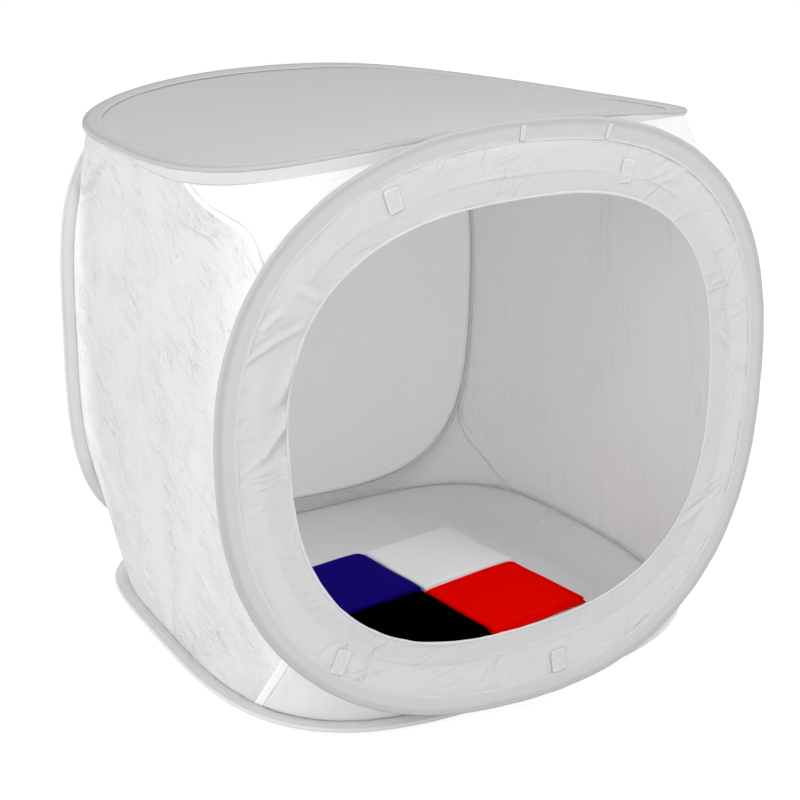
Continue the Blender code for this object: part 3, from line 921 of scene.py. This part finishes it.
def side_border(side, start_edge, hoop, end_edge):
    """One border of a side panel: half a corner seam, a hoop's arc, and half the next corner seam."""
    half = np.linspace(0.5, 1.0, 12)

    def across(edge, shares):
        return 1 - shares if edges[edge][0] == hoop else shares

    def reach(edge, shares):
        return seam_at(edge, across(edge, shares)) + tape_width - 1 * mm

    def corner(edge):
        return web_point(edge, side, reach(edge, half), across(edge, half))

    outline = hoops[hoop]
    arc = np.linspace(reach(start_edge, 1.0), outline.length / 2 - reach(end_edge, 1.0), 90)
    middle = outline.seam(0, side, arc)
    path = np.concatenate([corner(start_edge), middle[1:-1], corner(end_edge)[::-1]])
    return polyline(path, side_points)


def coons(bottom, top, front, back):
    """A surface between four borders; rows run from front to back, columns from bottom to top."""
    n, m = len(bottom), len(front)
    u = np.linspace(0, 1, n)[:, None, None]
    v = np.linspace(0, 1, m)[None, :, None]
    across = bottom[:, None] * (1 - v) + top[:, None] * v
    along = front[None] * (1 - u) + back[None] * u
    corners = bottom[0] * (1 - u) * (1 - v) + bottom[-1] * u * (1 - v)
    corners = corners + top[0] * (1 - u) * v + top[-1] * u * v
    return across + along - corners


def finer(points, size):
    """The same square grid with size rows and columns."""
    old = np.linspace(0, 1, len(points))
    new = np.linspace(0, 1, size)
    for _ in range(2):
        lines = [[np.interp(new, old, line[:, k]) for k in range(3)] for line in points]
        points = np.array(lines).transpose(2, 0, 1)
    return points


def tighten(bottom, top, front, back):
    """The taut surface between four borders, worked out on ever finer grids."""
    points = None
    for size in (12, 24, 48, 96, side_points):
        borders = [polyline(line, size) for line in (bottom, top, front, back)]
        if points is None:
            points = coons(*borders)
        else:
            points = finer(points, size)
            points[:, 0], points[:, -1], points[0], points[-1] = borders
        for _ in range(60 if size == side_points else 240):
            middle = points[:-2, 1:-1] + points[2:, 1:-1] + points[1:-1, :-2] + points[1:-1, 2:]
            points[1:-1, 1:-1] = middle / 4
    return points


def side_cloth(side, word):
    """A side panel: taut between its borders, with its crinkles and, on the left, its larger folds."""
    points = tighten(
        side_border(side, "front_bottom", "bottom", "back_bottom"),
        side_border(side, "front_top", "top", "back_top"),
        side_border(side, "front_bottom", "front", "front_top"),
        side_border(side, "back_bottom", "back", "back_top"),
    )
    u, v = points[..., 1], points[..., 2]
    relief = sum(crinkles(u, v, *row) for row in side_crinkles)
    if side < 0:
        relief = relief + fold_heights(u, v, side_folds)
    else:
        relief = relief * far_crinkle_share
    steps = np.minimum(np.arange(side_points), np.arange(side_points)[::-1])
    calm = smooth(np.minimum(steps[:, None], steps[None]) / rim_points)
    points = points + outward(points) * (relief * calm)[..., None]
    look = "side" if side < 0 else "far"
    obj = grid_piece(f"{word}_side_cloth", points, look, uv=np.stack([u, v], -1))
    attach(obj, "floor_frame")
    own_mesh(obj)
    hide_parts(f"{word}_side_panel")


# Cover tabs, closings and the loop strip

def tab(word, centre, size, turn, rows):
    """A cover tab on the front border, with rounded corners and raised stitches."""
    hoop = hoops["front"]
    u, v = grid(np.linspace(-1, 1, 15), np.linspace(-1, 1, 15))
    keep = 1 - 0.10 * (np.abs(u) * np.abs(v)) ** 6
    c, s = math.cos(turn), math.sin(turn)

    def place(x, y, off):
        return hoop.space(np.stack([centre[0] + c * x - s * y, centre[1] + s * x + c * y], -1), off)

    rim = np.maximum(np.abs(u), np.abs(v))
    puff = 0.5 * mm * noise(u * 1.6 + 3, v * 1.6 + centre[0] * 40, 81) * smooth(1.2 - rim)
    height = -(tab_lift + puff) * smooth((1.35 - rim) * 3)
    points = place(u * keep * size[0] / 2, v * keep * size[1] / 2, height)
    obj = hoop.piece(f"{word}_tab", points, "grip", thick=0.5 * mm)
    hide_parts(f"cover_tab_{word}")
    for k, (start, end) in enumerate(rows):
        start, end = np.array(start) * size / 2, np.array(end) * size / 2
        length = np.linalg.norm(end - start)

        def along(d, start=start, end=end, length=length):
            spot = start + (end - start) * (d / length)[:, None]
            return place(spot[:, 0], spot[:, 1], -tab_lift - 0.35 * mm)

        row = stitch_row(f"{word}_tab_stitches_{k}", along, length, tab_stitch_pitch)
        hoop.flatten(row)


def closing(word, hoop, centre):
    """A short strip sewn across the sleeve, where its cloth is closed."""
    places = np.arange(0, hoop.length, 1 * mm)
    middle = places[np.argmin(np.linalg.norm(hoop.at(places, 10 * mm) - np.array(centre), axis=-1))]
    d, share = grid(np.linspace(-closing_half, closing_half, 7), np.linspace(0.24, 0.97, 15))
    height = flap_half + (bead_radius - flap_half) * (1 - share) ** swell_power + closing_lift
    points = hoop.space(hoop.at(middle + d, share * band_width), -height)
    obj = hoop.piece(f"front_sleeve_closing_{word}", points, "tape")


def tabs():
    """Four tabs, each with a square of stitches, and the lower two with a cross as well."""
    corners = [(-0.8, -0.85), (0.8, -0.85), (0.8, 0.85), (-0.8, 0.85)]
    square = [(corners[k], corners[(k + 1) % 4]) for k in range(4)]
    cross = [(corners[0], corners[2]), (corners[3], corners[1])]
    places = {
        "lower_right": ((0.048, -0.262), (18 * mm, 26 * mm), 0.12),
        "lower_left": ((-0.190, -0.209), (15 * mm, 27 * mm), -0.45),
        "upper_right": ((0.102, 0.240), (14 * mm, 24 * mm), -0.15),
        "upper_left": ((-0.135, 0.235), (15 * mm, 24 * mm), 0.35),
    }
    for word, (centre, size, turn) in places.items():
        tab(word, centre, np.array(size), turn, square + (cross if word.startswith("lower") else []))


def loop_strip():
    """The strip inside the back panel that a backdrop's top edge is hung from."""
    back = hoops["back"]
    low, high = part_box("backdrop_loop_strip")
    middle = (low + high) / 2
    size = np.array([high.x - low.x, high.z - low.z])
    centre = (middle.x - back.centre[0], middle.z - back.centre[2])
    u, v = grid(np.linspace(-1, 1, 60), np.linspace(-1, 1, 9))
    ab = np.stack([centre[0] + u * size[0] / 2, centre[1] + v * size[1] / 2], -1)
    lift = 1.6 * mm + 0.4 * mm * noise(u * 9, v, 83)
    obj = back.piece("backdrop_strip", back.space(ab, lift), "grip", thick=1.0 * mm)
    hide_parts("backdrop_loop_strip")
    for k, share in enumerate((-0.86, 0.86)):
        def along(d, share=share):
            x = centre[0] - size[0] / 2 + d
            return back.space(np.stack([x, x * 0 + centre[1] + share * size[1] / 2], -1), 2.4 * mm)

        row = stitch_row(f"backdrop_strip_stitches_{k}", along, size[0])
        back.flatten(row)


# Folded backdrop cloths

def to_and_fro(length, turns, pitch, straight, bend):
    """A path that runs back and forth: its places along and across, and its direction's angle."""
    along, across, angle = [], [], []
    half = length / 2 - pitch / 2
    for k in range(turns):
        way = 1 if k % 2 == 0 else -1
        x = np.linspace(-half, half, straight) * way
        along.append(x)
        across.append(np.full(straight, k * pitch))
        angle.append(np.full(straight, 0.0 if way > 0 else math.pi))
        if k < turns - 1:
            turn = np.linspace(0, math.pi, bend + 2)[1:-1]
            along.append(way * (half + pitch / 2 * np.sin(turn)))
            across.append(k * pitch + pitch / 2 - pitch / 2 * np.cos(turn))
            angle.append(turn if way > 0 else math.pi - turn)
    return np.concatenate(along), np.concatenate(across), np.concatenate(angle)


def folded_cloth(colour, seed):
    """A backdrop cloth folded into a flat pile of thirty-two layers."""
    layer = pile_height / (layers_across * layers_over)
    x, rise, _ = to_and_fro(pile_width, layers_across, layer, 22, 3)
    stack = layer * layers_across
    y, height, angle = to_and_fro(pile_depth, layers_over, stack, 22, 9)
    shift = rise - rise.mean()
    normal = np.stack([-np.sin(angle), np.cos(angle)], -1)
    yy = y[:, None] + normal[:, :1] * shift[None]
    hh = height[:, None] + normal[:, 1:] * shift[None] + stack / 2
    xx = np.repeat(x[None], len(y), 0)
    share = hh / pile_height
    edge_x, edge_y = np.abs(xx) / (pile_width / 2), np.abs(yy) / (pile_depth / 2)
    slump = 1 - 0.16 * smooth((edge_x - 0.9) * 9) - 0.10 * smooth((edge_y - 0.9) * 9)
    puff = 1 + 0.05 * noise(xx / (45 * mm) + seed, yy / (45 * mm), seed)
    lift = hh * slump * puff
    xx = xx + (1.3 * mm * noise(yy / (40 * mm), share * 3.1 + seed, seed + 1)) * smooth(edge_x)
    yy = yy + (1.5 * mm * noise(xx / (38 * mm) + seed, share * 2.3, seed + 2)) * smooth(edge_y)
    yy = yy + 0.8 * mm * noise(xx / (90 * mm), share * 5 + seed, seed + 3)
    lower = smooth((0.5 - share) * 12)
    yy = yy - slipped * lower * smooth((-yy / (pile_depth / 2) - 0.6) * 4)
    xx = xx + slipped * lower * smooth((xx / (pile_width / 2) - 0.6) * 4)
    groove = np.exp(-(((share - 0.5) / 0.07) ** 2)) * groove_depth
    yy = yy + groove * smooth((-yy / (pile_depth / 2) - 0.85) * 8)
    xx = xx - groove * smooth((xx / (pile_width / 2) - 0.85) * 8)
    low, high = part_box(f"{colour}_backdrop")
    middle = (low + high) / 2
    c, s = math.cos(pile_turn), math.sin(pile_turn)
    points = np.stack([middle.x + c * xx - s * yy, middle.y + s * xx + c * yy, pile_floor + lift], -1)
    obj = grid_piece(f"{colour}_folded_cloth", points, colour, thick=layer_thickness)
    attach(obj, f"{colour}_backdrop")
    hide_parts(f"{colour}_backdrop")


# Camera, lamps and surroundings

camera_at = Vector((-0.7283, -1.3964, 0.7864))
camera_yaw = 0.4900
camera_pitch = 0.3240
camera_roll = -0.0188
focal_pixels = 1445.9
picture_pixels = 800
sensor = 36.0
horizon_strength = 1.84
overhead_strength = 0.52
floor_glow = 0.86
floor_shade = 0.30
floor_colour = 0.62
floor_reach = 6.0
overhead_height = 0.75

# Lamps: place, diameter, power and what they are aimed at
lamps = {
    "near": ((-1.25, -0.95, 1.05), 0.5, 3.0, (-0.2, -0.2, 0.5)),
    "left": ((-3.0, 0.1, 0.8), 1.6, 19.5, (0, 0, 0.3)),
    "front_high": ((0.35, -1.6, 1.8), 0.5, 13.0, (-0.02, 0.05, 0)),
}


def make_camera():
    level = math.cos(camera_pitch)
    forward = Vector((math.sin(camera_yaw) * level, math.cos(camera_yaw) * level, -math.sin(camera_pitch)))
    right = Vector((math.cos(camera_yaw), -math.sin(camera_yaw), 0))
    up = right.cross(forward)
    c, s = math.cos(camera_roll), math.sin(camera_roll)
    right, up = c * right + s * up, -s * right + c * up
    data = bpy.data.cameras.new("camera")
    data.sensor_width = sensor
    data.lens = focal_pixels * sensor / picture_pixels
    obj = bpy.data.objects.new("camera", data)
    turn = Matrix((right, up, -forward)).transposed()
    obj.matrix_world = Matrix.Translation(camera_at) @ turn.to_4x4()
    bpy.context.scene.collection.objects.link(obj)
    bpy.context.scene.camera = obj


def lamp(name, place, size, power, aim):
    data = bpy.data.lights.new(name, "AREA")
    data.shape = "DISK"
    data.size = size
    data.energy = power
    obj = bpy.data.objects.new(name, data)
    obj.location = place
    obj.rotation_euler = (Vector(aim) - Vector(place)).to_track_quat("-Z", "Y").to_euler()
    obj.visible_camera = False
    bpy.context.scene.collection.objects.link(obj)


def seen_rays(tree):
    """1 for rays from the camera, and for those off metal or through glass: all see the pale background."""
    path = node(tree, "LightPath")
    value = path.outputs["Is Camera Ray"]
    for word in ("Is Glossy Ray", "Is Transmission Ray"):
        value = math_node(tree, "MAXIMUM", value, path.outputs[word])
    return value


def world_light():
    """White light, stronger from the sides than from above, with a plain white background."""
    scene = bpy.context.scene
    scene.view_settings.view_transform = "Standard"
    world = bpy.data.worlds.new("studio")
    scene.world = world
    world.use_nodes = True
    tree = world.node_tree
    link = tree.links.new
    soft = tree.nodes["Background"]
    soft.inputs["Color"].default_value = (1, 1, 1, 1)
    sky = node(tree, "SeparateXYZ", {"Vector": node(tree, "TexCoord").outputs["Generated"]})
    fall = fade_node(tree, sky.outputs["Z"], 0.0, overhead_height, horizon_strength, overhead_strength)
    link(fall, soft.inputs["Strength"])
    shown = node(tree, "Background", {"Color": (1, 1, 1, 1), "Strength": 1.0})
    surface = mix_shaders(tree, seen_rays(tree), soft.outputs["Background"], shown.outputs["Background"])
    link(surface, tree.nodes["World Output"].inputs["Surface"])


def studio_floor():
    """A pale floor that takes the tent's shadow and meets the white background."""
    mesh = bpy.data.meshes.new("studio_floor")
    corners = [(x * floor_reach, y * floor_reach, 0) for x, y in ((-1, -1), (1, -1), (1, 1), (-1, 1))]
    mesh.from_pydata(corners, [], [(0, 1, 2, 3)])
    floor = bpy.data.objects.new("studio_floor", mesh)
    bpy.context.scene.collection.objects.link(floor)
    look, tree, shader, out = nodes_of("studio_floor")
    shader.inputs["Base Color"].default_value = (floor_colour, floor_colour, floor_colour, 1)
    shader.inputs["Roughness"].default_value = 0.9
    bright = node(tree, "Emission", {"Strength": floor_glow}).outputs["Emission"]
    shade = node(tree, "BsdfDiffuse", {"Color": (floor_shade, floor_shade, floor_shade, 1)}).outputs["BSDF"]
    both = node(tree, "AddShader", {0: bright, 1: shade}).outputs["Shader"]
    surface = mix_shaders(tree, seen_rays(tree), shader.outputs["BSDF"], both)
    tree.links.new(surface, out.inputs["Surface"])
    mesh.materials.append(look)


make_camera()
world_light()
studio_floor()
for name, (place, size, power, aim) in lamps.items():
    lamp(name, place, size, power, aim)

for name, hoop in hoops.items():
    sleeve(name, hoop)
    welt(name, hoop)
    if name in ("back", "bottom"):
        piping(name, hoop)
    seam_stitches(name, hoop)
    wire(name, hoop)
skirt("top", hoops["top"])

panels = {
    "top": ("top", top_relief, None),
    "back": ("panel", back_relief, None),
    "bottom": ("bottom", floor_relief, floor_lying),
}
for name, (look, relief, level) in panels.items():
    panel = disc(f"{name}_cloth_panel", hoops[name], look, relief, level)
    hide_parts(f"{name}_panel")
border()
door_hem()
door_facing()
for edge in edges:
    hinge(edge)
    for side, word in ((-1, "left"), (1, "right")):
        gusset(edge, side, word)
        seam_binding(edge, side, word)
        seam_cord(edge, side, word)
side_cloth(-1, "left")
side_cloth(1, "right")
tabs()
closing("middle", hoops["front"], (-0.0145, 0.2875))
closing("right", hoops["front"], (0.077, 0.2850))
loop_strip()
folded_cloth("blue", 3)
folded_cloth("white", 7)
folded_cloth("black", 11)
folded_cloth("red", 17)
